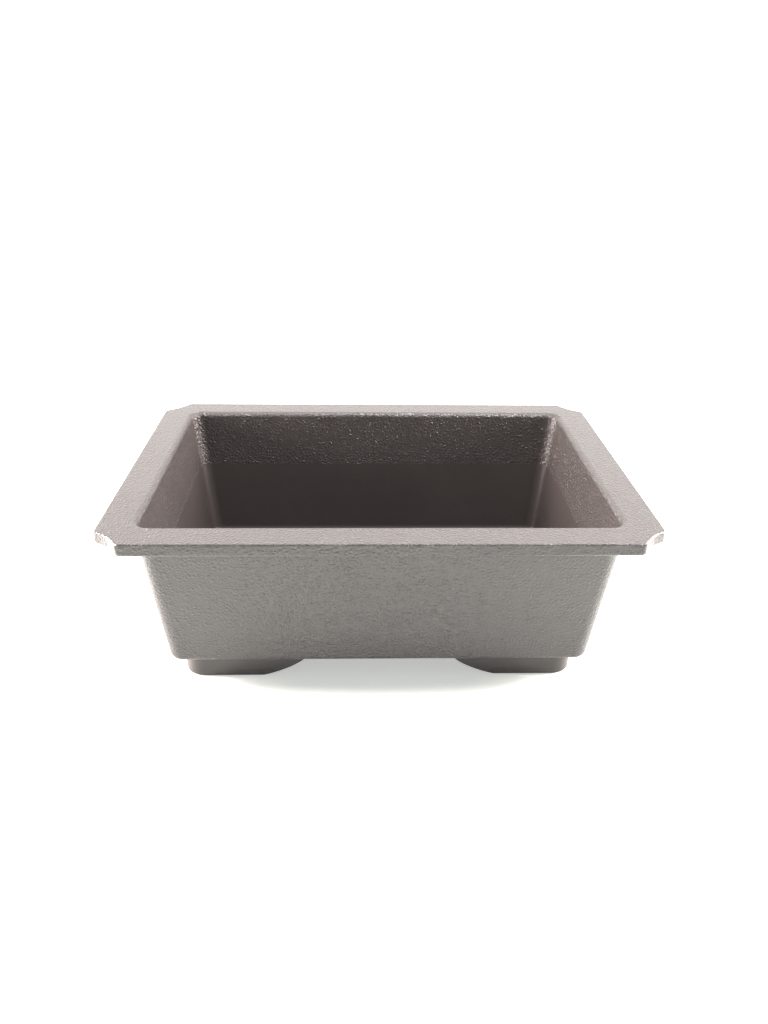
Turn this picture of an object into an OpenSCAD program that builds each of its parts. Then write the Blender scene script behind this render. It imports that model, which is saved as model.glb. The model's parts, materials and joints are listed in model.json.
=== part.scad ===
// Rectangular bonsai training pot with two screened drains.
// Lengths are in millimetres. The pot stands on z = 0, centred on x = y = 0, its front towards -Y.
// The pot is one moulding. A mesh screen lies over each drain, pinned there by a bent wire clip.

/* [Pot] */
// Length over the rim
rim_length = 200; // [160:1:320]
// Width over the rim, front to back
rim_width = 144; // [115:1:260]
// Height from the ground to the top of the rim
pot_height = 72; // [45:1:140]
// Thickness of the moulding in the walls, rim and feet
wall = 2.2; // [1.6:0.1:3]
// Thickness of the floor
floor_thick = 2.6; // [1.8:0.1:4]
// Lean of the walls from upright, in degrees
wall_lean = 6.5; // [2:0.5:12]
// Radius of the upright corners outside
corner_r = 6; // [4:0.5:10]
// Radius of the upright corners inside
inner_corner_r = 4.8; // [3.5:0.1:7]
// Rounding of the outer bottom edge
bottom_edge_r = 2.8; // [1:0.1:3.5]
// Fillet between the floor and the inner walls
floor_fillet = 3.2; // [1:0.1:3.4]

/* [Rim] */
// Depth of the rim's turned-down edge
rim_edge = 4.7; // [3.4:0.1:8]
// How far the rim stands out past the walls
rim_overhang = 11.9; // [6:0.1:16]
// Rounding of the rim's inner lip
lip_r = 2.4; // [0.6:0.1:3]
// Length that each cut corner takes off the sides of the rim
corner_cut = 9.8; // [4:0.1:11]
// How far a cut corner is hollowed in from straight
corner_hollow = 1.15; // [0.6:0.05:2]

/* [Feet] */
// Height of the feet
foot_height = 10.3; // [6:0.1:16]
// Width of each leg of a bracket foot
foot_leg = 11; // [8:0.5:14]
// Length of a foot's flat sole along the long sides
long_sole = 31.7; // [20:0.1:40]
// Length of a foot's flat sole along the short sides
short_sole = 20.6; // [14:0.1:24]
// Run of the curve that lifts the end of each leg to the underside
toe_run = 18; // [8:0.5:18]
// Set-in of the feet from the ends of the pot's underside
foot_inset_end = 3.9; // [3:0.1:8]
// Set-in of the feet from the front and back of the pot's underside
foot_inset_front = 5; // [3:0.1:8]
// Radius of the outer corner of a foot
foot_corner_r = 8.5; // [4:0.5:11]

/* [Drains] */
// Diameter of a drain hole
drain_d = 20; // [14:0.5:25]
// Distance from the inner face of an end wall, at the floor, to the centre of its drain
drain_from_end = 41; // [34:0.5:44]
// Diameter of a hole for the tree's tie wire
tie_hole_d = 4; // [3:0.1:5]
// Gap between a screen and the edge of the nearest tie wire hole
tie_from_screen = 2.5; // [1:0.1:4]
// Distance from a long foot leg's inner face to the edge of the nearest tie wire hole
tie_from_foot = 8.6; // [2:0.1:12]

/* [Screens] */
// Pitch of the screen's mesh
mesh_pitch = 3; // [2.8:0.1:3.6]
// Width of a strand of the mesh
strand = 0.8; // [0.5:0.05:1.1]
// Thickness of a screen
screen_thick = 1; // [0.6:0.1:1.6]
// Openings along one side of a screen, an odd number so that one is over the drain's centre
mesh_count = 11; // [11, 13]

/* [Clips] */
// Diameter of the clip's wire
wire_d = 1.2; // [0.8:0.1:1.5]
// Reach of each wire end under the floor, past the drain's edge
tail_grip = 5; // [3:0.5:8]
// Gap between the wire and what it clips
wire_gap = 0.05; // [0.02:0.01:0.3]

/* [Hidden] */
ARC_STEPS = 8;
CUT = 1;

// Levels
floor_top = foot_height + floor_thick;
rim_under = pot_height - rim_edge;
screen_top = floor_top + screen_thick;

// Half sizes of the leaning walls at a height, outside and inside
function outer_half(over_rim, z) = over_rim / 2 - rim_overhang - (rim_under - z) * tan(wall_lean);
function inner_half(over_rim, z) = outer_half(over_rim, z) - wall;

// Cut corners of the rim: an arc of this radius about a centre this far out from each corner, both ways
notch_r = pow(corner_cut * sqrt(2), 2) / (8 * corner_hollow) + corner_hollow / 2;
notch_out = (notch_r - corner_hollow) / sqrt(2) - corner_cut / 2;

// Outer corner of the feet
foot_x = outer_half(rim_length, foot_height) - foot_inset_end;
foot_y = outer_half(rim_width, foot_height) - foot_inset_front;

// Drains, screens and tie wire holes
drain_x = inner_half(rim_length, floor_top) - drain_from_end;
mesh_opening = mesh_pitch - strand;
screen_size = mesh_count * mesh_pitch + strand;
tie_x = drain_x + screen_size / 2 + tie_from_screen + tie_hole_d / 2;
tie_y = foot_y - foot_leg - tie_from_foot - tie_hole_d / 2;

// Clip: its ends drop through the second mesh opening along and the first one across. Each bends down
// in the half opening past the strand that it leaves, so the bend never presses on the mesh.
leg_x = 2 * mesh_pitch;
leg_y = mesh_pitch;
bend_r = mesh_opening / 2;
loop_r = leg_y + bend_r;
bar_z = screen_top + wire_gap + wire_d / 2;
tail_z = foot_height - wire_gap - wire_d / 2;
tail_end = drain_d / 2 + tail_grip;

// One level rounded rectangle as points, counter-clockwise from above
function ring(half_x, half_y, corner, z) = [
    for (quarter = [0:3], step = [0:ARC_STEPS])
        let (side = 90 * quarter + 45, turn = 90 * (quarter + step / ARC_STEPS))
        [sign(cos(side)) * (half_x - corner) + corner * cos(turn),
         sign(sin(side)) * (half_y - corner) + corner * sin(turn), z]
];

// Ring of a leaning wall's section at a height, drawn in by an inset
function outer_ring(at, z, inset) = ring(outer_half(rim_length, at) - inset,
    outer_half(rim_width, at) - inset, corner_r - inset, z);
function inner_ring(at, z, inset) = ring(inner_half(rim_length, at) - inset,
    inner_half(rim_width, at) - inset, inner_corner_r - inset, z);

// Closed solid through a stack of rings, the lowest first
module loft(rings) {
    around = len(rings[0]);
    top = (len(rings) - 1) * around;
    sides = [
        for (level = [0:len(rings) - 2], i = [0:around - 1])
            let (a = level * around + i, b = level * around + (i + 1) % around)
            [a, a + around, b + around, b]
    ];
    bottom_face = [for (i = [0:around - 1]) i];
    top_face = [for (i = [around - 1:-1:0]) top + i];
    polyhedron([for (r = rings) each r], concat([bottom_face], sides, [top_face]));
}

// Outside of the box: round the bottom edge, then up the leaning walls into the rim
module box_outside() {
    edge_top = foot_height + bottom_edge_r * (1 - sin(wall_lean));
    edge = [
        for (step = [0:ARC_STEPS])
            let (turn = (90 - wall_lean) * step / ARC_STEPS)
            outer_ring(edge_top, foot_height + bottom_edge_r * (1 - cos(turn)),
                bottom_edge_r * (cos(wall_lean) - sin(turn)))
    ];
    join = pot_height - wall / 2;
    loft(concat(edge, [outer_ring(join, join, 0)]));
}

// Planting space: round the floor's fillet, up the leaning walls and out over the rounded lip
module planting_space() {
    fillet_top = floor_top + floor_fillet * (1 - sin(wall_lean));
    fillet = [
        for (step = [0:ARC_STEPS])
            let (turn = (90 - wall_lean) * step / ARC_STEPS)
            inner_ring(fillet_top, floor_top + floor_fillet * (1 - cos(turn)),
                floor_fillet * (cos(wall_lean) - sin(turn)))
    ];
    lip_start = pot_height - lip_r * (1 - sin(wall_lean));
    lip = [
        for (step = [0:ARC_STEPS])
            let (turn = wall_lean + (90 - wall_lean) * step / ARC_STEPS)
            inner_ring(lip_start, pot_height - lip_r * (1 - sin(turn)),
                lip_r * (cos(turn) - cos(wall_lean)))
    ];
    mouth = inner_ring(lip_start, pot_height + CUT, -lip_r * cos(wall_lean));
    loft(concat(fillet, lip, [mouth]));
}

// Plan of the rim, drawn in by an inset: a rectangle with a hollow arc cut from each corner
module rim_plan(inset) {
    difference() {
        square([rim_length - 2 * inset, rim_width - 2 * inset], center = true);
        for (sx = [-1, 1], sy = [-1, 1])
            translate([sx * (rim_length / 2 + notch_out), sy * (rim_width / 2 + notch_out)])
                circle(r = notch_r + inset, $fn = 96);
    }
}

// Rim: a plate with a turned-down edge, open underneath
module rim() {
    translate([0, 0, rim_under])
        difference() {
            linear_extrude(rim_edge)
                rim_plan(0);
            translate([0, 0, -CUT])
                linear_extrude(rim_edge - wall + CUT)
                    rim_plan(wall);
        }
}

// Height of a leg's sole along the curve that lifts its end, from 0 on the ground to 1 at the underside
function toe_lift(along) = 1 - pow(1 - pow(along, 1.15), 0.6);

// Side view of a foot leg: its flat sole ends at sole_end, and the curve lifts it towards the middle
module leg_view(outer, sole_end) {
    toe = [
        for (step = [0:ARC_STEPS])
            let (along = step / ARC_STEPS)
            [sole_end - toe_run * along, foot_height * toe_lift(along)]
    ];
    polygon(concat([[outer, foot_height], [outer, 0]], toe));
}

// Two legs of an L, each drawn in side view and given its width, inset from all their upright faces
module leg_pair(inset, toe_shift, depth) {
    span = foot_leg - 2 * inset;
    translate([0, foot_y - inset, depth])
        rotate([90, 0, 0])
            linear_extrude(span)
                leg_view(foot_x - inset, foot_x - long_sole + toe_shift);
    translate([foot_x - foot_leg + inset, 0, depth])
        rotate([90, 0, 90])
            linear_extrude(span)
                leg_view(foot_y - inset, foot_y - short_sole + toe_shift);
}

// Plan of the foot's outer corner, to round both legs where they meet
module foot_plan(inset) {
    r = foot_corner_r - inset;
    difference() {
        square([foot_x - inset, foot_y - inset]);
        translate([foot_x - foot_corner_r, foot_y - foot_corner_r])
            difference() {
                square(foot_corner_r + CUT);
                circle(r = r, $fn = 64);
            }
    }
}

// One bracket foot, in the back right corner, with an open pocket between its walls
module foot() {
    toe_wall = 2.5 * wall;
    difference() {
        intersection() {
            leg_pair(0, 0, 0);
            linear_extrude(foot_height + CUT)
                foot_plan(0);
        }
        intersection() {
            union() {
                leg_pair(wall, toe_wall, 0);
                leg_pair(wall, toe_wall, -CUT);
            }
            translate([0, 0, -CUT])
                linear_extrude(foot_height + CUT)
                    foot_plan(wall);
        }
    }
}

module all_feet() {
    for (mx = [0, 1], my = [0, 1])
        mirror([mx, 0, 0])
            mirror([0, my, 0])
                foot();
}

// Drain holes and tie wire holes, through the floor
module floor_holes() {
    for (sx = [-1, 1]) {
        translate([sx * drain_x, 0, foot_height - CUT])
            cylinder(d = drain_d, h = floor_thick + 2 * CUT, $fn = 96);
        for (sy = [-1, 1])
            translate([sx * tie_x, sy * tie_y, foot_height - CUT])
                cylinder(d = tie_hole_d, h = floor_thick + 2 * CUT, $fn = 48);
    }
}

module pot_body() {
    color([0.29, 0.24, 0.23])
        difference() {
            union() {
                box_outside();
                rim();
                all_feet();
            }
            planting_space();
            floor_holes();
        }
}

// Square of moulded mesh, centred over a drain
module drain_screen() {
    last = (mesh_count - 1) / 2;
    translate([0, 0, floor_top])
        linear_extrude(screen_thick)
            difference() {
                square(screen_size, center = true);
                for (column = [-last:last], row = [-last:last])
                    translate([column * mesh_pitch, row * mesh_pitch])
                        square(mesh_opening, center = true);
            }
}

module drain_screen_left() {
    color([0.08, 0.08, 0.08])
        translate([-drain_x, 0, 0])
            drain_screen();
}

module drain_screen_right() {
    color([0.08, 0.08, 0.08])
        translate([drain_x, 0, 0])
            drain_screen();
}

// Wire bent round an arc in the XY plane, from +X through an angle
module wire_arc(r, angle) {
    rotate_extrude(angle = angle, $fn = 64)
        translate([r, 0])
            circle(d = wire_d, $fn = 24);
}

// Straight wire from the origin along +X
module wire_run(length) {
    rotate([0, 90, 0])
        cylinder(d = wire_d, h = length, $fn = 24);
}

// Half of a clip: half the bar, a loop back over the mesh, the leg down the drain, and the tail
module half_clip() {
    loop_x = leg_x + loop_r;
    translate([0, 0, bar_z]) {
        wire_run(loop_x);
        translate([loop_x, loop_r, 0])
            rotate(-90)
                wire_arc(loop_r, 270);
        translate([leg_x, loop_r, -bend_r])
            rotate([90, 0, -90])
                wire_arc(bend_r, 90);
    }
    translate([leg_x, leg_y, tail_z + bend_r])
        cylinder(d = wire_d, h = bar_z - tail_z - 2 * bend_r, $fn = 24);
    translate([leg_x + bend_r, leg_y, tail_z + bend_r])
        rotate([-90, 0, 180])
            wire_arc(bend_r, 90);
    translate([leg_x + bend_r, leg_y, tail_z])
        wire_run(tail_end - leg_x - bend_r);
}

// Whole clip, the same when turned half round
module screen_clip() {
    half_clip();
    rotate(180)
        half_clip();
}

module screen_clip_left() {
    color([0.62, 0.6, 0.57])
        translate([-drain_x, 0, 0])
            screen_clip();
}

module screen_clip_right() {
    color([0.62, 0.6, 0.57])
        translate([drain_x, 0, 0])
            screen_clip();
}

pot_body();
drain_screen_left();
drain_screen_right();
screen_clip_left();
screen_clip_right();
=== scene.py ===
# %% [markdown]
# # A plastic bonsai pot with screened drains
#
# The pot is one moulding: a rim with hollowed corners, four leaning walls, a floor and four
# bracket feet. Over each drain hole in its floor lies a square of plastic mesh, pinned there by a
# bent wire clip. The measured frame gives where everything is. This lesson models the finished
# surfaces round that frame, in metres, with the ground at z = 0 and the front of the pot towards
# -Y.

# %% Load the frame
import json
import math

import bmesh
import bpy
from mathutils import Matrix, Vector


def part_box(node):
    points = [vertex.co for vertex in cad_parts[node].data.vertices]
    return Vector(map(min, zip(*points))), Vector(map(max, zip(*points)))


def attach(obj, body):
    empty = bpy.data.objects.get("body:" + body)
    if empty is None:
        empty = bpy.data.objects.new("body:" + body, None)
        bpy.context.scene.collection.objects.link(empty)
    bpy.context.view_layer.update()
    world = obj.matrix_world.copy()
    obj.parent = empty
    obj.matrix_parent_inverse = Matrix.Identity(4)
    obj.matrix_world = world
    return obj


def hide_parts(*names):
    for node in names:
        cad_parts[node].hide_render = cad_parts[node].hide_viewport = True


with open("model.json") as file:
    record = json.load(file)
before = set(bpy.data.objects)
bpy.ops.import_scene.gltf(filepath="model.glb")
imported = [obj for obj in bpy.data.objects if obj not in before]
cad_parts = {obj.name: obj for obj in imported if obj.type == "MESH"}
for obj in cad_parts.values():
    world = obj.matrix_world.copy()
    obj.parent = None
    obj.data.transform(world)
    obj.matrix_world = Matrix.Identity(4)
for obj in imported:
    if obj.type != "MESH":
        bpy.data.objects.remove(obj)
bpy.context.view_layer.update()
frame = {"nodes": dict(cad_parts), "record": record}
bpy.ops.object.select_all(action="DESELECT")
print("nodes in the frame:", sorted(frame["nodes"]))

# %% [markdown]
# ## Sizes
#
# The frame says how big the pot is over all, and where its drains and tie wire holes are. What it
# can't say is how the moulding runs in between, so those few sizes are named here, in millimetres,
# as a mould drawing would give them. Everything else is worked out from them.

# %% Sizes of the moulding
MM = 0.001
CUBIC_CM = 1e-6
pot_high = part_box("pot_body")[1]
rim_half = Vector((pot_high.x, pot_high.y))
rim_top = pot_high.z

WALL = 2.2 * MM
FLOOR = 2.6 * MM
RIM_EDGE = 4.7 * MM
RIM_OVERHANG = 11.9 * MM
LEAN = math.radians(6.5)
CORNER = 6.0 * MM
INNER_CORNER = 4.8 * MM
BOTTOM_EDGE = 2.8 * MM
FLOOR_FILLET = 3.2 * MM
LIP = 2.4 * MM
CORNER_CUT = 9.8 * MM
GRAIN_DEPTH = 24.9 * MM
FOOT_HEIGHT = 10.3 * MM
CORNER_STEPS = 16
ARC_STEPS = 8

rim_under = rim_top - RIM_EDGE
channel_roof = rim_top - WALL
floor_under = FOOT_HEIGHT
floor_top = FOOT_HEIGHT + FLOOR


def in_mm(length):
    return round(length / MM, 1)


print("rim over all, mm:", in_mm(2 * rim_half.x), "x", in_mm(2 * rim_half.y))


# %% Where the leaning walls are at a height
def outer_half(z):
    """Half length and half width over the outside of the walls."""
    set_in = RIM_OVERHANG + (rim_under - z) * math.tan(LEAN)
    return rim_half - Vector((set_in, set_in))


def inner_half(z):
    return outer_half(z) - Vector((WALL, WALL))


print("walls at the floor, mm:", [in_mm(2 * half) for half in outer_half(floor_under)])

# %% [markdown]
# ## Picking in edit mode
#
# An operator acts on whatever is selected, and a person picks with the mouse. Here small helpers
# pick by place or by direction, so that each modelling step reads as it would be done by hand.

# %% Helpers for edit mode
NEAR = 0.02 * MM
SHARP = math.radians(30)


def select_only(*pieces):
    bpy.ops.object.select_all(action="DESELECT")
    for piece in pieces:
        piece.select_set(True)
    bpy.context.view_layer.objects.active = pieces[0]


def start_edit(piece):
    select_only(piece)
    bpy.ops.object.mode_set(mode="EDIT")


def end_edit():
    bpy.ops.object.mode_set(mode="OBJECT")


def pick(piece, kind, test):
    """Selects the faces, edges or vertices that pass the test, and says how many."""
    bpy.ops.mesh.select_mode(type=kind)
    bpy.ops.mesh.select_all(action="DESELECT")
    mesh = bmesh.from_edit_mesh(piece.data)
    parts = {"VERT": mesh.verts, "EDGE": mesh.edges, "FACE": mesh.faces}[kind]
    found = [part for part in parts if test(part)]
    for part in found:
        part.select_set(True)
    mesh.select_flush_mode()
    bmesh.update_edit_mesh(piece.data)
    return len(found)


def at_height(z):
    """Test for an edge or a face that lies level at a height."""
    return lambda part: all(abs(corner.co.z - z) < NEAR for corner in part.verts)


def spread_corners(piece, way):
    """Moves what is selected outwards, each corner of the pot along its own diagonal."""
    mesh = bmesh.from_edit_mesh(piece.data)
    for corner in [v for v in mesh.verts if v.select]:
        corner.co.x += way * math.copysign(1, corner.co.x)
        corner.co.y += way * math.copysign(1, corner.co.y)
    bmesh.update_edit_mesh(piece.data)


def bevel_selected(offset, steps, affect="EDGES", profile=0.5):
    """Profile 0.5 makes a round bevel, and 0.25 a straight one."""
    bpy.ops.mesh.bevel(offset=offset, offset_type="OFFSET", segments=steps, profile=profile,
                       affect=affect, clamp_overlap=False)


def join(name, pieces):
    select_only(*pieces)
    bpy.ops.object.join()
    pieces[0].name = name
    return pieces[0]


def apply_modifier(piece, kind, **settings):
    select_only(piece)
    modifier = piece.modifiers.new(kind.lower(), kind)
    for setting, value in settings.items():
        setattr(modifier, setting, value)
    bpy.ops.object.modifier_apply(modifier=modifier.name)


def faces_of(piece):
    return len(piece.data.polygons)


# %% [markdown]
# ## Outlines
#
# Every level of the pot is a rectangle whose corners are shaped. A plane with its four corner
# points bevelled gives that outline in one step. Each bevel has the same number of steps, whether
# it is a round corner of the walls or a hollow corner of the rim, so that any two outlines bridge
# point to point.


# %% A rectangle with shaped corners
def outline(name, half, z, corner, steps=CORNER_STEPS, profile=0.5):
    """A level face whose corners are rounded, or cut straight by profile 0.25."""
    bpy.ops.mesh.primitive_plane_add(size=2, location=(0, 0, z))
    piece = bpy.context.active_object
    piece.name = name
    piece.scale = (half.x, half.y, 1)
    bpy.ops.object.transform_apply(location=True, rotation=True, scale=True)
    start_edit(piece)
    bpy.ops.mesh.select_mode(type="VERT")
    bpy.ops.mesh.select_all(action="SELECT")
    bevel_selected(corner, steps, "VERTICES", profile)
    end_edit()
    return piece


# %% [markdown]
# ## Inside of the pot
#
# The planting space is modelled from its mouth down. Insets that also go down make the round lip,
# an extrusion whose corners move in makes the leaning walls, and more insets turn the fillet into
# the floor. An inset keeps the rounding even all the way round, which scaling wouldn't. The walls
# take two extrusions, because the mould's leather grain stops at a level line below the rim, and
# the edge there parts the two finishes.


# %% Round and lean, a step at a time
def round_in(start, stop, radius, down):
    """Insets the selected face along an arc from one turn to another, and down as it goes."""
    for step in range(ARC_STEPS):
        a = start + (stop - start) * step / ARC_STEPS
        b = start + (stop - start) * (step + 1) / ARC_STEPS
        across, drop = down(radius, a, b)
        bpy.ops.mesh.inset(thickness=across, depth=-drop, use_even_offset=True)


def lip_step(radius, a, b):
    return radius * (math.sin(b) - math.sin(a)), radius * (math.cos(a) - math.cos(b))


def fillet_step(radius, a, b):
    return radius * (math.cos(a) - math.cos(b)), radius * (math.sin(b) - math.sin(a))


def lean_down(piece, drop):
    """Extrudes the selected face down, drawn in by the walls' lean."""
    bpy.ops.mesh.extrude_region_move(TRANSFORM_OT_translate={"value": (0, 0, -drop)})
    spread_corners(piece, -drop * math.tan(LEAN))


upright = math.pi / 2 - LEAN
lip_bottom = rim_top - LIP * (1 - math.sin(LEAN))
mouth_half = inner_half(lip_bottom) + Vector((1, 1)) * LIP * math.cos(LEAN)
inside = outline("inside", mouth_half, rim_top, INNER_CORNER + LIP * math.cos(LEAN))
start_edit(inside)
bpy.ops.mesh.select_all(action="SELECT")
round_in(0, upright, LIP, lip_step)
grain_line = rim_top - GRAIN_DEPTH
fillet_top = floor_top + FLOOR_FILLET * (1 - math.sin(LEAN))
lean_down(inside, lip_bottom - grain_line)
lean_down(inside, grain_line - fillet_top)
round_in(LEAN, math.pi / 2, FLOOR_FILLET, fillet_step)
end_edit()
print("inside:", faces_of(inside), "faces")

# %% [markdown]
# ## Outside of the walls
#
# The outside starts where the walls meet the underside of the rim and goes down in the same way:
# one leaning extrusion, then insets round the bottom edge to the flat underside.

# %% Outside
outside = outline("outside", outer_half(channel_roof), channel_roof, CORNER)
edge_top = floor_under + BOTTOM_EDGE * (1 - math.sin(LEAN))
start_edit(outside)
bpy.ops.mesh.select_all(action="SELECT")
lean_down(outside, channel_roof - edge_top)
round_in(LEAN, math.pi / 2, BOTTOM_EDGE, fillet_step)
pick(outside, "FACE", at_height(channel_roof))
bpy.ops.mesh.delete(type="FACE")
end_edit()
print("outside:", faces_of(outside), "faces")

# %% [markdown]
# ## Rim
#
# Real rims of this kind are a thin plate with a turned-down edge, so that the moulding is as thick
# there as in the walls. The plate's corners are cut straight, hollowed by pushing the points of
# each cut in along an arc, and blunted where the hollow meets the sides. Ten steps of hollow and
# three at each blunt end make the sixteen steps that the round corners have. The outline is then
# extruded down by the depth of the edge, inset by the wall, and pushed back up to leave the
# channel that fingers find under the rim.

# %% Outline of the rim
CORNER_HOLLOW = 1.15 * MM
BLUNT_END = 1.0 * MM
BLUNT_STEPS = 3
STRAIGHT = 0.25
HOLLOW_STEPS = CORNER_STEPS - 2 * BLUNT_STEPS
cut_start = rim_half - Vector((CORNER_CUT, CORNER_CUT))


def hollow_corners(piece):
    """Pushes the points of each cut in along an arc that is deepest halfway."""
    mesh = bmesh.from_edit_mesh(piece.data)
    for point in mesh.verts:
        along = (abs(point.co.x) - cut_start.x) / CORNER_CUT
        push = CORNER_HOLLOW * 4 * along * (1 - along) / math.sqrt(2)
        point.co.x -= math.copysign(push, point.co.x)
        point.co.y -= math.copysign(push, point.co.y)
    bmesh.update_edit_mesh(piece.data)


def ends_a_cut(point):
    x, y = abs(point.co.x), abs(point.co.y)
    on_end = abs(x - rim_half.x) < NEAR and abs(y - cut_start.y) < NEAR
    on_side = abs(x - cut_start.x) < NEAR and abs(y - rim_half.y) < NEAR
    return on_end or on_side


rim = outline("rim", rim_half, rim_top, CORNER_CUT, HOLLOW_STEPS, STRAIGHT)
start_edit(rim)
hollow_corners(rim)
pick(rim, "VERT", ends_a_cut)
bevel_selected(BLUNT_END, BLUNT_STEPS, "VERTICES")
print("points round the rim:", len(rim.data.vertices), "before blunting")

# %% Plate and turned-down edge
bpy.ops.mesh.select_mode(type="FACE")
bpy.ops.mesh.select_all(action="SELECT")
bpy.ops.mesh.extrude_region_move(TRANSFORM_OT_translate={"value": (0, 0, -RIM_EDGE)})
bpy.ops.mesh.inset(thickness=WALL, depth=0, use_even_offset=True)
bpy.ops.mesh.extrude_region_move(TRANSFORM_OT_translate={"value": (0, 0, RIM_EDGE - WALL)})
pick(rim, "FACE", lambda face: at_height(rim_top)(face) or at_height(channel_roof)(face))
bpy.ops.mesh.delete(type="FACE")
end_edit()
print("rim:", faces_of(rim), "faces")


# %% Bridge the three into one skin
def turn_faces_out():
    bpy.ops.mesh.select_all(action="SELECT")
    bpy.ops.mesh.normals_make_consistent(inside=False)


# A bridge pairs two loops by the way that their faces turn, so the skins are turned alike first.
pot = join("pot", [inside, outside, rim])
start_edit(pot)
turn_faces_out()
for level in (rim_top, channel_roof):
    pick(pot, "EDGE", lambda edge: edge.is_boundary and at_height(level)(edge))
    bpy.ops.mesh.bridge_edge_loops()
turn_faces_out()
mesh = bmesh.from_edit_mesh(pot.data)
print("open edges left:", sum(edge.is_boundary for edge in mesh.edges), "of", len(mesh.edges))
print("plastic in rim, walls and floor, cubic cm:", round(mesh.calc_volume() / CUBIC_CM, 1))
end_edit()

# %% Soften the rim's edges
RIM_SOFT = 0.7 * MM
RIM_SOFT_STEPS = 4
PAST_LIP = RIM_OVERHANG / 4


def on_rim_outline(point):
    beyond_mouth = max(abs(point.x) - mouth_half.x, abs(point.y) - mouth_half.y)
    return beyond_mouth > PAST_LIP


def sharp_rim_edge(edge):
    ends = [corner.co for corner in edge.verts]
    if not all(on_rim_outline(end) and end.z > rim_under - NEAR for end in ends):
        return False
    if len(edge.link_faces) != 2:
        return False
    return edge.is_convex and edge.calc_face_angle() > SHARP


start_edit(pot)
print("rim edges to soften:", pick(pot, "EDGE", sharp_rim_edge))
bevel_selected(RIM_SOFT, RIM_SOFT_STEPS)
end_edit()
print("pot skin:", faces_of(pot), "faces")

# %% [markdown]
# ## Feet
#
# Each foot is an L of two legs under one corner of the pot, hollow from below so that it is as
# thin as the walls. A profile could be drawn and extruded, but two profiles that cross at a corner
# are hard to keep alike. Here a cube makes the corner, and its two inner faces are extruded along
# the pot: once for the flat sole, then in short steps whose lower edge climbs the toe's curve. The
# same steps with every wall set in by its thickness make the hollow, whose toe climbs sooner so
# that a wall is left under the slope, and a boolean cuts it out. One foot is modelled and mirrored
# for the other three. A mirrored mesh is inside out, so its normals are recalculated.

# %% Sizes of a foot
FOOT_LEG = 11 * MM
LONG_SOLE = 31.7 * MM
SHORT_SOLE = 20.6 * MM
TOE_RUN = 18 * MM
TOE_STEPS = 12
FOOT_INSET = Vector((3.9, 5.0)) * MM
FOOT_CORNER = 8.5 * MM
SOLE_SOFT = 0.45 * MM
SOFT_STEPS = 3
INTO_FLOOR = 1.0 * MM
TOE_INTO_FLOOR = 0.05 * MM
TOE_TOP = FOOT_HEIGHT + TOE_INTO_FLOOR
TOE_START_POWER = 1.15
TOE_END_POWER = 0.6
HOLLOW_TOE_BACK = 2.5 * WALL
foot_end = outer_half(floor_under) - FOOT_INSET
print("feet over all, mm:", [in_mm(2 * half) for half in foot_end])


def toe_lift(along):
    """How far the toe's curve has climbed, from 0 at the sole's end to 1 at the underside.

    The first power eases its start, and the second steepens its end.
    """
    return 1 - (1 - along ** TOE_START_POWER) ** TOE_END_POWER


# %% Extrude a leg
def lift_low_edge(piece, top, z):
    """Sets the lower points of what is selected at a height."""
    mesh = bmesh.from_edit_mesh(piece.data)
    for corner in [v for v in mesh.verts if v.select and v.co.z < top - NEAR]:
        corner.co.z = z
    bmesh.update_edit_mesh(piece.data)


def extrude_leg(piece, axis, low, top, sole_end):
    """Extrudes the corner's inner face along the pot, over the flat sole and up the toe."""
    across = 1 - axis

    def inner_face(face):
        return all(abs(v.co[axis] - low[axis]) < NEAR and v.co[across] > low[across] - NEAR
                   for v in face.verts)

    pick(piece, "FACE", inner_face)
    place = low[axis]
    for step in range(TOE_STEPS + 1):
        along = step / TOE_STEPS
        next_place = sole_end - TOE_RUN * along
        move = Vector((0, 0, 0))
        move[axis] = next_place - place
        bpy.ops.mesh.extrude_region_move(TRANSFORM_OT_translate={"value": move})
        lift_low_edge(piece, top, TOE_TOP * toe_lift(along))
        place = next_place


# %% One L of two legs
def add_box(name, low, high):
    middle, size = (low + high) / 2, high - low
    bpy.ops.mesh.primitive_cube_add(size=1, location=middle)
    piece = bpy.context.active_object
    piece.name = name
    piece.scale = size
    bpy.ops.object.transform_apply(location=True, rotation=True, scale=True)
    return piece


def foot_block(name, set_in, toe_back, top):
    low = foot_end - Vector((1, 1)) * (FOOT_LEG - set_in)
    high = foot_end - Vector((1, 1)) * set_in
    piece = add_box(name, low.to_3d(), Vector((high.x, high.y, top)))
    start_edit(piece)
    extrude_leg(piece, 0, low, top, foot_end.x - LONG_SOLE + toe_back)
    extrude_leg(piece, 1, low, top, foot_end.y - SHORT_SOLE + toe_back)
    pick(piece, "EDGE", lambda edge: all((v.co.xy - high).length < NEAR for v in edge.verts))
    bevel_selected(FOOT_CORNER - set_in, CORNER_STEPS)
    end_edit()
    return piece


foot = foot_block("foot", 0, 0, FOOT_HEIGHT + INTO_FLOOR)
hollow = foot_block("hollow", WALL, HOLLOW_TOE_BACK, FOOT_HEIGHT + INTO_FLOOR / 2)
print("foot:", faces_of(foot), "faces; its hollow:", faces_of(hollow))


# %% Soften the sole and cut the hollow
# Both limits are for the Z of a face's direction.
FACES_DOWN = -0.3
STANDS_UPRIGHT = 0.1


def cut_away(piece, cutter, operation="DIFFERENCE"):
    apply_modifier(piece, "BOOLEAN", operation=operation, solver="EXACT", object=cutter)
    bpy.data.objects.remove(cutter, do_unlink=True)


def sole_edge(edge):
    """Whether an upright side of the foot meets its sole or toe there."""
    if len(edge.link_faces) != 2 or max(v.co.z for v in edge.verts) >= TOE_TOP + NEAR:
        return False
    under, side = sorted(face.normal.z for face in edge.link_faces)
    return under < FACES_DOWN and abs(side) < STANDS_UPRIGHT and edge.calc_face_angle() > SHARP


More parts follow.
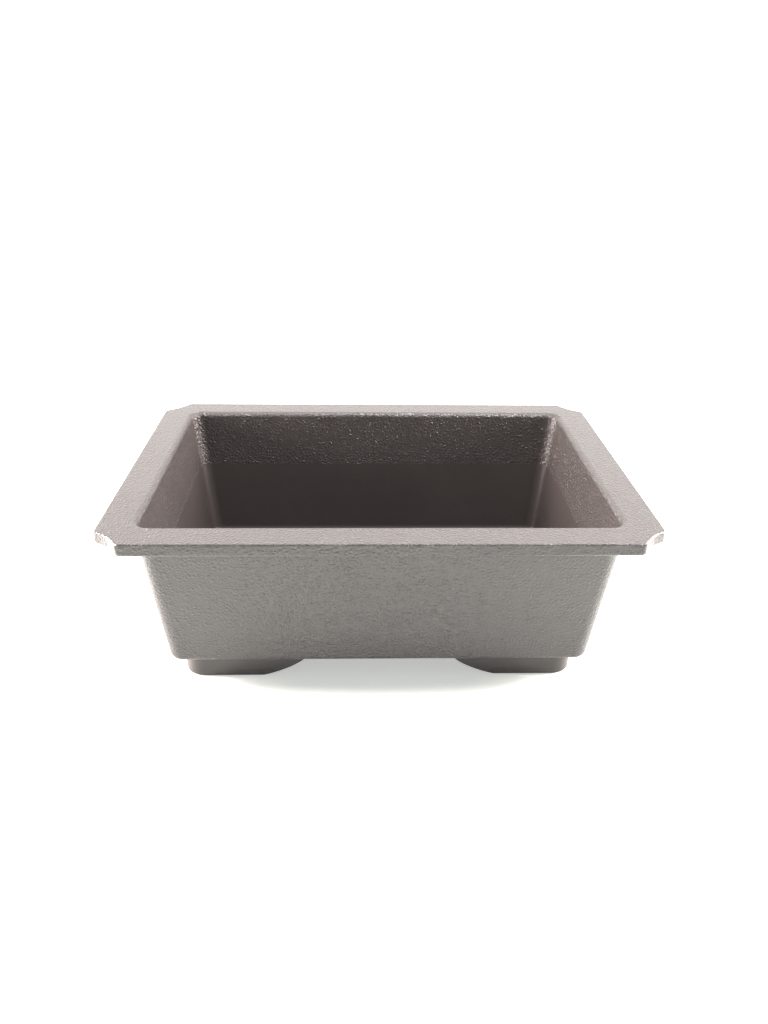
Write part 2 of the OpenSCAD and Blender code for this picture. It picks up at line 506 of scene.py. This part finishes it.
start_edit(foot)
turn_faces_out()
print("sole edges:", pick(foot, "EDGE", sole_edge))
bevel_selected(SOLE_SOFT, SOFT_STEPS)
end_edit()
start_edit(hollow)
pick(hollow, "FACE", at_height(0))
bpy.ops.mesh.extrude_region_move(TRANSFORM_OT_translate={"value": (0, 0, -INTO_FLOOR)})
turn_faces_out()
end_edit()
cut_away(foot, hollow)
print("hollow foot:", faces_of(foot), "faces")


# %% Mirror it to the other corners and weld all four on
def copy_of(piece, name):
    select_only(piece)
    bpy.ops.object.duplicate()
    copy = bpy.context.active_object
    copy.name = name
    return copy


feet = [foot]
for way in ((-1, 1), (1, -1), (-1, -1)):
    turned = copy_of(foot, "foot_copy")
    turned.scale = (*way, 1)
    bpy.ops.object.transform_apply(location=True, rotation=True, scale=True)
    start_edit(turned)
    turn_faces_out()
    end_edit()
    feet.append(turned)
cut_away(pot, join("feet", feet), operation="UNION")
print("pot with feet:", faces_of(pot), "faces")

# %% [markdown]
# ## Holes in the floor
#
# Two round drains and four small holes for the tie wire that holds a tree go through the floor.
# Cylinders cut them, with their places read from the frame: a drain is under the middle of its
# screen, and each tie wire hole is one of the pot's mounts. The cut leaves sharp edges, and no
# moulding has those, so the edges round the holes get a small bevel.

# %% Drains and tie wire holes
DRAIN = 20 * MM
HOLE_SOFT = 0.3 * MM
HOLE_STEPS = 96
PIN_LENGTH = 3 * FLOOR
screens = ["drain_screen_left", "drain_screen_right"]
holes = []
for screen in screens:
    low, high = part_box(screen)
    holes.append(((low + high).xy / 2, DRAIN / 2))
for mount in frame["record"]["mounts"]:
    if mount["kind"] == "bore":
        holes.append((Vector(mount["pos_m"][:2]), mount["dims"]["r_mm"] * MM))
pins = []
for middle, radius in holes:
    bpy.ops.mesh.primitive_cylinder_add(radius=radius, depth=PIN_LENGTH, vertices=HOLE_STEPS,
                                        location=(middle.x, middle.y, floor_under + FLOOR / 2))
    pins.append(bpy.context.active_object)
pin_block = join("pins", pins)
bpy.ops.object.transform_apply(location=True, rotation=True, scale=True)
cut_away(pot, pin_block)
for middle, radius in holes:
    print("hole at, mm:", in_mm(middle.x), in_mm(middle.y), "diameter:", in_mm(2 * radius))


# %% Soften the holes
def rings_a_hole(edge):
    if not (at_height(floor_top)(edge) or at_height(floor_under)(edge)):
        return False
    return any(all(abs((v.co.xy - middle).length - radius) < NEAR for v in edge.verts)
               for middle, radius in holes)


start_edit(pot)
print("hole edges:", pick(pot, "EDGE", rings_a_hole))
bevel_selected(HOLE_SOFT, SOFT_STEPS)
mesh = bmesh.from_edit_mesh(pot.data)
print("edges without two faces:", sum(not edge.is_manifold for edge in mesh.edges))
end_edit()


# %% Smooth shading
def shade_smooth(piece, angle=SHARP):
    select_only(piece)
    bpy.ops.object.shade_smooth_by_angle(angle=angle, keep_sharp_edges=False)
    apply_modifier(piece, "WEIGHTED_NORMAL", keep_sharp=True, weight=50)


shade_smooth(pot)

# %% [markdown]
# ## Plastic of the pot
#
# The mould is etched with a leather grain on the outside, the rim and the top of the planting
# space, and polished smooth below. Both finishes are the same dark brown plastic with a soft
# sheen. The grain is small cells with narrow creases between them, so it comes from a Voronoi
# texture's distance to the edge, on coordinates that a noise texture wobbles so that no crease
# runs straight. It is less than 0.3 mm deep, so a bump carries it, where modelling it would take
# millions of faces. The plastic itself is nearly black-brown: the pot looks grey where its sheen
# mirrors something white, as most plastic does.


# %% A bumpy moulded plastic
def wobbled_place(tree, amount, scale):
    """Object coordinates pushed about by a noise, so that a pattern on them isn't regular."""
    place = tree.nodes.new("ShaderNodeTexCoord")
    wobble = tree.nodes.new("ShaderNodeTexNoise")
    wobble.inputs["Scale"].default_value = scale
    wobble.inputs["Detail"].default_value = 2
    centred = tree.nodes.new("ShaderNodeVectorMath")
    centred.operation = "SUBTRACT"
    centred.inputs[1].default_value = (0.5, 0.5, 0.5)
    pushed = tree.nodes.new("ShaderNodeVectorMath")
    pushed.operation = "MULTIPLY_ADD"
    pushed.inputs[1].default_value = (amount, amount, amount)
    tree.links.new(place.outputs["Object"], wobble.inputs["Vector"])
    tree.links.new(wobble.outputs["Color"], centred.inputs[0])
    tree.links.new(centred.outputs[0], pushed.inputs[0])
    tree.links.new(place.outputs["Object"], pushed.inputs[2])
    return pushed.outputs[0]


def add_noise(tree, place, scale, detail):
    noise = tree.nodes.new("ShaderNodeTexNoise")
    noise.inputs["Scale"].default_value = scale
    noise.inputs["Detail"].default_value = detail
    tree.links.new(place, noise.inputs["Vector"])
    return noise.outputs["Fac"]


def remap(tree, value, span, result):
    """Eases a value from one range of numbers to another."""
    ease = tree.nodes.new("ShaderNodeMapRange")
    ease.interpolation_type = "SMOOTHSTEP"
    ease.inputs["From Min"].default_value, ease.inputs["From Max"].default_value = span
    ease.inputs["To Min"].default_value, ease.inputs["To Max"].default_value = result
    tree.links.new(value, ease.inputs["Value"])
    return ease.outputs["Result"]


def add_heights(tree, first, second):
    both = tree.nodes.new("ShaderNodeMath")
    both.operation = "ADD"
    tree.links.new(first, both.inputs[0])
    tree.links.new(second, both.inputs[1])
    return both.outputs[0]


def bump_up(tree, height, depth):
    bump = tree.nodes.new("ShaderNodeBump")
    bump.inputs["Strength"].default_value = 1
    bump.inputs["Distance"].default_value = depth
    tree.links.new(height, bump.inputs["Height"])
    tree.links.new(bump.outputs["Normal"], tree.nodes["Principled BSDF"].inputs["Normal"])


def tint(tree, value, dark, light):
    """Blends two colours by a value and gives the result to the shader."""
    mix = tree.nodes.new("ShaderNodeMix")
    mix.data_type = "RGBA"
    mix.inputs["A"].default_value = (*dark, 1)
    mix.inputs["B"].default_value = (*light, 1)
    tree.links.new(value, mix.inputs["Factor"])
    tree.links.new(mix.outputs["Result"], tree.nodes["Principled BSDF"].inputs["Base Color"])


def new_finish(name, **settings):
    finish = bpy.data.materials.new(name)
    finish.use_nodes = True
    shader = finish.node_tree.nodes["Principled BSDF"]
    for socket, value in settings.items():
        shader.inputs[socket.replace("_", " ")].default_value = value
    return finish


# %% Grained and smooth brown plastic
BROWN_DARK = (0.027, 0.023, 0.0225)
BROWN_LIGHT = (0.035, 0.0295, 0.0285)
TONE_SCALE = 0.05 / MM

# A span is the part of a texture's range that is used, and a rise is the height that it becomes.
CELL_SCALE = 0.65 / MM
CELL_SPAN, CELL_RISE = (0.0, 0.4), (0.0, 0.7)
STIPPLE_SCALE = 2.2 / MM
STIPPLE_SPAN, STIPPLE_RISE = (0.3, 0.7), (0.0, 0.3)
GRAIN_BUMP = 0.26 * MM
POLISH_SCALE = 0.9 / MM
POLISH_BUMP = 0.02 * MM

grained_brown = new_finish("grained_brown", Roughness=0.32, Specular_IOR_Level=0.62)
tree = grained_brown.node_tree
place = wobbled_place(tree, amount=0.9 * MM, scale=0.9 / MM)
cells = tree.nodes.new("ShaderNodeTexVoronoi")
cells.feature = "DISTANCE_TO_EDGE"
cells.inputs["Scale"].default_value = CELL_SCALE
tree.links.new(place, cells.inputs["Vector"])
leather = remap(tree, cells.outputs["Distance"], CELL_SPAN, CELL_RISE)
fine = add_noise(tree, place, STIPPLE_SCALE, detail=2)
stipple = remap(tree, fine, STIPPLE_SPAN, STIPPLE_RISE)
bump_up(tree, add_heights(tree, leather, stipple), GRAIN_BUMP)
tint(tree, add_noise(tree, place, TONE_SCALE, detail=3), BROWN_DARK, BROWN_LIGHT)

smooth_brown = new_finish("smooth_brown", Roughness=0.36, Specular_IOR_Level=0.6)
tree = smooth_brown.node_tree
place = wobbled_place(tree, amount=0.5 * MM, scale=0.3 / MM)
bump_up(tree, add_noise(tree, place, POLISH_SCALE, detail=4), POLISH_BUMP)
tint(tree, add_noise(tree, place, TONE_SCALE, detail=3), BROWN_DARK, BROWN_LIGHT)


# %% Say which faces are grained
# A face is level when the Z of its direction is beyond this.
LEVEL = 0.7
EDGE_REACH = 1.1 * BOTTOM_EDGE


def is_grained(face):
    """Whether the mould is etched there: outside, on the rim, and inside above the grain line."""
    middle, facing = face.center, face.normal
    half = outer_half(middle.z)
    beyond_wall = max(abs(middle.x) - half.x, abs(middle.y) - half.y)
    if middle.z < floor_under or facing.z < -LEVEL:
        return False
    if middle.x * facing.x + middle.y * facing.y > 0:
        return beyond_wall > -EDGE_REACH
    return middle.z > grain_line and (beyond_wall < 0 or facing.z > LEVEL)


pot.data.materials.clear()
pot.data.materials.append(grained_brown)
pot.data.materials.append(smooth_brown)
for face in pot.data.polygons:
    face.material_index = 0 if is_grained(face) else 1
print("grained faces:", sum(face.material_index == 0 for face in pot.data.polygons))
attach(pot, "root")
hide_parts("pot_body")

# %% [markdown]
# ## Drain screens
#
# Each screen is a square cut from moulded mesh. Strands could be crossed as bars, but then they
# run through each other. A grid gives the whole mesh as one skin: every square of the grid is
# inset by half a strand, its middle is deleted, and the corners of the openings are rounded. The
# outer strands get their missing half by an extrusion outwards, and the sheet its thickness by one
# upwards. A last bevel rounds the strands.

# %% One screen
STRAND = 0.8 * MM
SCREEN_MESHES = 11
OPENING_CORNER = 0.35 * MM
OPENING_STEPS = 2
STRAND_SOFT = 0.26 * MM
STRAND_CORNER = math.radians(60)
SCREEN_SMOOTH = math.radians(40)
screen_low, screen_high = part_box(screens[0])
screen_middle = (screen_low + screen_high) / 2
screen_side = screen_high.x - screen_low.x
grid_side = screen_side - STRAND
screen_thick = screen_high.z - screen_low.z


def at_grid_edge(vertex):
    from_middle = vertex.co - screen_middle
    return max(abs(from_middle.x), abs(from_middle.y)) > grid_side / 2 - NEAR


def on_screen_outline(edge):
    return all(at_grid_edge(v) for v in edge.verts)


def opening_corner(vertex):
    return vertex.is_boundary and not at_grid_edge(vertex)


def strand_edge(edge):
    level = abs(edge.verts[0].co.z - edge.verts[1].co.z) < NEAR
    return level and edge.is_manifold and edge.calc_face_angle() > STRAND_CORNER


grid_place = (screen_middle.x, screen_middle.y, screen_low.z)
bpy.ops.mesh.primitive_grid_add(x_subdivisions=SCREEN_MESHES, y_subdivisions=SCREEN_MESHES,
                                size=grid_side, location=grid_place)
screen = bpy.context.active_object
screen.name = "mesh_screen_left"
bpy.ops.object.transform_apply(location=True, rotation=True, scale=True)
start_edit(screen)
bpy.ops.mesh.select_mode(type="FACE")
bpy.ops.mesh.select_all(action="SELECT")
bpy.ops.mesh.inset(thickness=STRAND / 2, use_individual=True)
bpy.ops.mesh.delete(type="FACE")
print("opening corners:", pick(screen, "VERT", opening_corner))
bevel_selected(OPENING_CORNER, OPENING_STEPS, "VERTICES")
pick(screen, "EDGE", on_screen_outline)
bpy.ops.mesh.extrude_edges_move()
outwards = screen_side / grid_side
bpy.ops.transform.resize(value=(outwards, outwards, 1), center_override=grid_place)
bpy.ops.mesh.select_mode(type="FACE")
bpy.ops.mesh.select_all(action="SELECT")
bpy.ops.mesh.extrude_region_move(TRANSFORM_OT_translate={"value": (0, 0, screen_thick)})
turn_faces_out()
print("strand edges:", pick(screen, "EDGE", strand_edge))
bevel_selected(STRAND_SOFT, SOFT_STEPS)
mesh = bmesh.from_edit_mesh(screen.data)
print("edges without two faces:", sum(not edge.is_manifold for edge in mesh.edges))
end_edit()
shade_smooth(screen, SCREEN_SMOOTH)

# %% Both screens, in black mesh plastic
BLACK_DARK = (0.014, 0.014, 0.015)
BLACK_LIGHT = (0.03, 0.03, 0.031)

mesh_black = new_finish("mesh_black", Roughness=0.42)
tree = mesh_black.node_tree
place = wobbled_place(tree, amount=0.4 * MM, scale=0.6 / MM)
bump_up(tree, add_noise(tree, place, 1.5 / MM, detail=3), depth=0.05 * MM)
tint(tree, add_noise(tree, place, 0.3 / MM, detail=2), BLACK_DARK, BLACK_LIGHT)
screen.data.materials.clear()
screen.data.materials.append(mesh_black)
other = copy_of(screen, "mesh_screen_right")
other.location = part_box(screens[1])[0] - screen_low
bpy.ops.object.transform_apply(location=True, rotation=True, scale=True)
for piece, node in ((screen, screens[0]), (other, screens[1])):
    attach(piece, "root")
    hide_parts(node)
print("screen faces:", faces_of(screen))

# %% [markdown]
# ## Clips
#
# A clip is one bent length of aluminium wire. The CAD model has it already as a smooth round wire
# with its bends, so nothing is modelled again and it only needs its finish. Drawn wire is satin,
# never a mirror: fine scratches tilt the surface and the oxide makes the tone uneven.

# %% Wire finish
WIRE_DARK = (0.52, 0.50, 0.48)
WIRE_LIGHT = (0.66, 0.64, 0.61)

satin_wire = new_finish("satin_wire", Roughness=0.32, Metallic=1.0)
tree = satin_wire.node_tree
place = wobbled_place(tree, amount=0.4 * MM, scale=0.6 / MM)
bump_up(tree, add_noise(tree, place, 3 / MM, detail=3), depth=0.02 * MM)
tint(tree, add_noise(tree, place, 0.2 / MM, detail=2), WIRE_DARK, WIRE_LIGHT)
for name in ("screen_clip_left", "screen_clip_right"):
    for spot in frame["nodes"][name].material_slots:
        spot.material = satin_wire
    print(name, "faces:", len(frame["nodes"][name].data.polygons))

# %% [markdown]
# ## Camera
#
# The camera stands in front of the pot, a little above it and looking down into it. Its direction
# comes from three angles: yaw turns it sideways, dip tips it down, and roll tilts the horizon.
# From them follow the three directions ahead, right and up, and these are the columns of the
# camera's matrix, because a camera looks along its own -Z.

# %% Place the camera
CAMERA_PLACE = Vector((-8.7, -320.9, 207.8)) * MM
CAMERA_YAW, CAMERA_DIP, CAMERA_ROLL = (math.radians(angle) for angle in (2.02, 26.38, 0.89))
SENSOR_WIDTH = 36
FOCAL_LENGTH = 29.53
camera_data = bpy.data.cameras.new("camera")
camera_data.sensor_width = SENSOR_WIDTH
camera_data.lens = FOCAL_LENGTH
camera = bpy.data.objects.new("camera", camera_data)
bpy.context.collection.objects.link(camera)
ahead = Vector((math.sin(CAMERA_YAW) * math.cos(CAMERA_DIP),
                math.cos(CAMERA_YAW) * math.cos(CAMERA_DIP),
                -math.sin(CAMERA_DIP)))
level_right = Vector((math.cos(CAMERA_YAW), -math.sin(CAMERA_YAW), 0))
level_up = level_right.cross(ahead)
right = math.cos(CAMERA_ROLL) * level_right + math.sin(CAMERA_ROLL) * level_up
up = math.cos(CAMERA_ROLL) * level_up - math.sin(CAMERA_ROLL) * level_right
camera_turn = Matrix((right, up, -ahead)).transposed().to_4x4()
camera.matrix_world = Matrix.Translation(CAMERA_PLACE) @ camera_turn
bpy.context.scene.camera = camera
print("camera to pot, mm:", in_mm(CAMERA_PLACE.length))

# %% [markdown]
# ## Floor and lights
#
# Dark glossy plastic is lit by what it mirrors. The pot stands in a light tent on white paper: the
# paper throws light up on the walls, and glows a little because light comes through it, which
# softens the shadow. It lies a hair below the soles, because two faces in one plane would flicker.
# A small light above draws the thin shine along the rim's edges, and one from each side rakes over
# the grain, whitens the outer corners and draws the sparkle down the two far inner corners. Each
# light's power follows from how bright its face is, so it can be resized without changing how
# bright it looks.

# %% White paper floor
FLOOR_SIZE = 8
UNDER_SOLES = 0.02 * MM
PAPER_GLOW = 0.45
PAPER_DARK = (0.75, 0.80, 0.77)
PAPER_LIGHT = (0.78, 0.825, 0.80)

bpy.ops.mesh.primitive_plane_add(size=FLOOR_SIZE, location=(0, 0, -UNDER_SOLES))
floor = bpy.context.active_object
floor.name = "floor"
paper = new_finish("white_paper", Roughness=0.6, Emission_Color=(0.98, 1, 0.97, 1),
                   Emission_Strength=PAPER_GLOW)
tree = paper.node_tree
place = wobbled_place(tree, amount=1 * MM, scale=0.1 / MM)
tint(tree, add_noise(tree, place, 0.02 / MM, detail=2), PAPER_DARK, PAPER_LIGHT)
floor.data.materials.append(paper)


# %% Three soft lights
NEUTRAL = (1, 0.98, 0.96)
WARM = (1, 0.87, 0.83)
SIDE_SIZE = (0.25, 0.16)


def soft_light(name, place, size, brightness, colour):
    """A rectangular light, its place and size in metres, that looks at the pot."""
    data = bpy.data.lights.new(name, "AREA")
    data.shape = "RECTANGLE"
    data.size, data.size_y = size
    data.energy = brightness * math.pi * size[0] * size[1]
    data.color = colour
    lamp = bpy.data.objects.new(name, data)
    lamp.location = place
    towards = Vector((0, 0, pot_high.z / 2)) - Vector(place)
    lamp.rotation_euler = towards.to_track_quat("-Z", "Y").to_euler()
    lamp.visible_camera = False
    bpy.context.collection.objects.link(lamp)
    print(name, "watts:", round(data.energy, 1))


soft_light("top_light", (0.15, -0.12, 0.75), (0.22, 0.16), brightness=105, colour=NEUTRAL)
soft_light("left_light", (-0.55, 0.08, 0.2), SIDE_SIZE, brightness=155, colour=WARM)
soft_light("right_light", (0.55, 0.08, 0.2), SIDE_SIZE, brightness=105, colour=WARM)

# %% [markdown]
# ## Light tent
#
# The world is the tent's cloth. It is bright behind the pot, where the rim mirrors it, and dim in
# front, so the far inner wall stays dark. The brightness follows the Y of the direction. To the
# camera itself the cloth is plain white, because the background shouldn't show those differences.

# %% Tent cloth
TENT_SPAN = (-0.5, 1.0)
TENT_BRIGHTNESS = (0.35, 3.3)
SEEN_BRIGHTNESS = 1.1
CLOTH_WHITE = (1, 0.965, 0.935, 1)

tent = bpy.data.worlds.new("light_tent")
bpy.context.scene.world = tent
tent.use_nodes = True
nodes, links = tent.node_tree.nodes, tent.node_tree.links
direction = nodes.new("ShaderNodeTexCoord")
parts = nodes.new("ShaderNodeSeparateXYZ")
links.new(direction.outputs["Generated"], parts.inputs[0])
brightness = remap(tent.node_tree, parts.outputs["Y"], TENT_SPAN, TENT_BRIGHTNESS)
seen = nodes.new("ShaderNodeLightPath")
plain_white = nodes.new("ShaderNodeMix")
links.new(seen.outputs["Is Camera Ray"], plain_white.inputs["Factor"])
links.new(brightness, plain_white.inputs["A"])
plain_white.inputs["B"].default_value = SEEN_BRIGHTNESS
links.new(plain_white.outputs["Result"], nodes["Background"].inputs["Strength"])
nodes["Background"].inputs["Color"].default_value = CLOTH_WHITE
bpy.context.scene.view_settings.view_transform = "Standard"
print("tent nodes:", len(nodes))
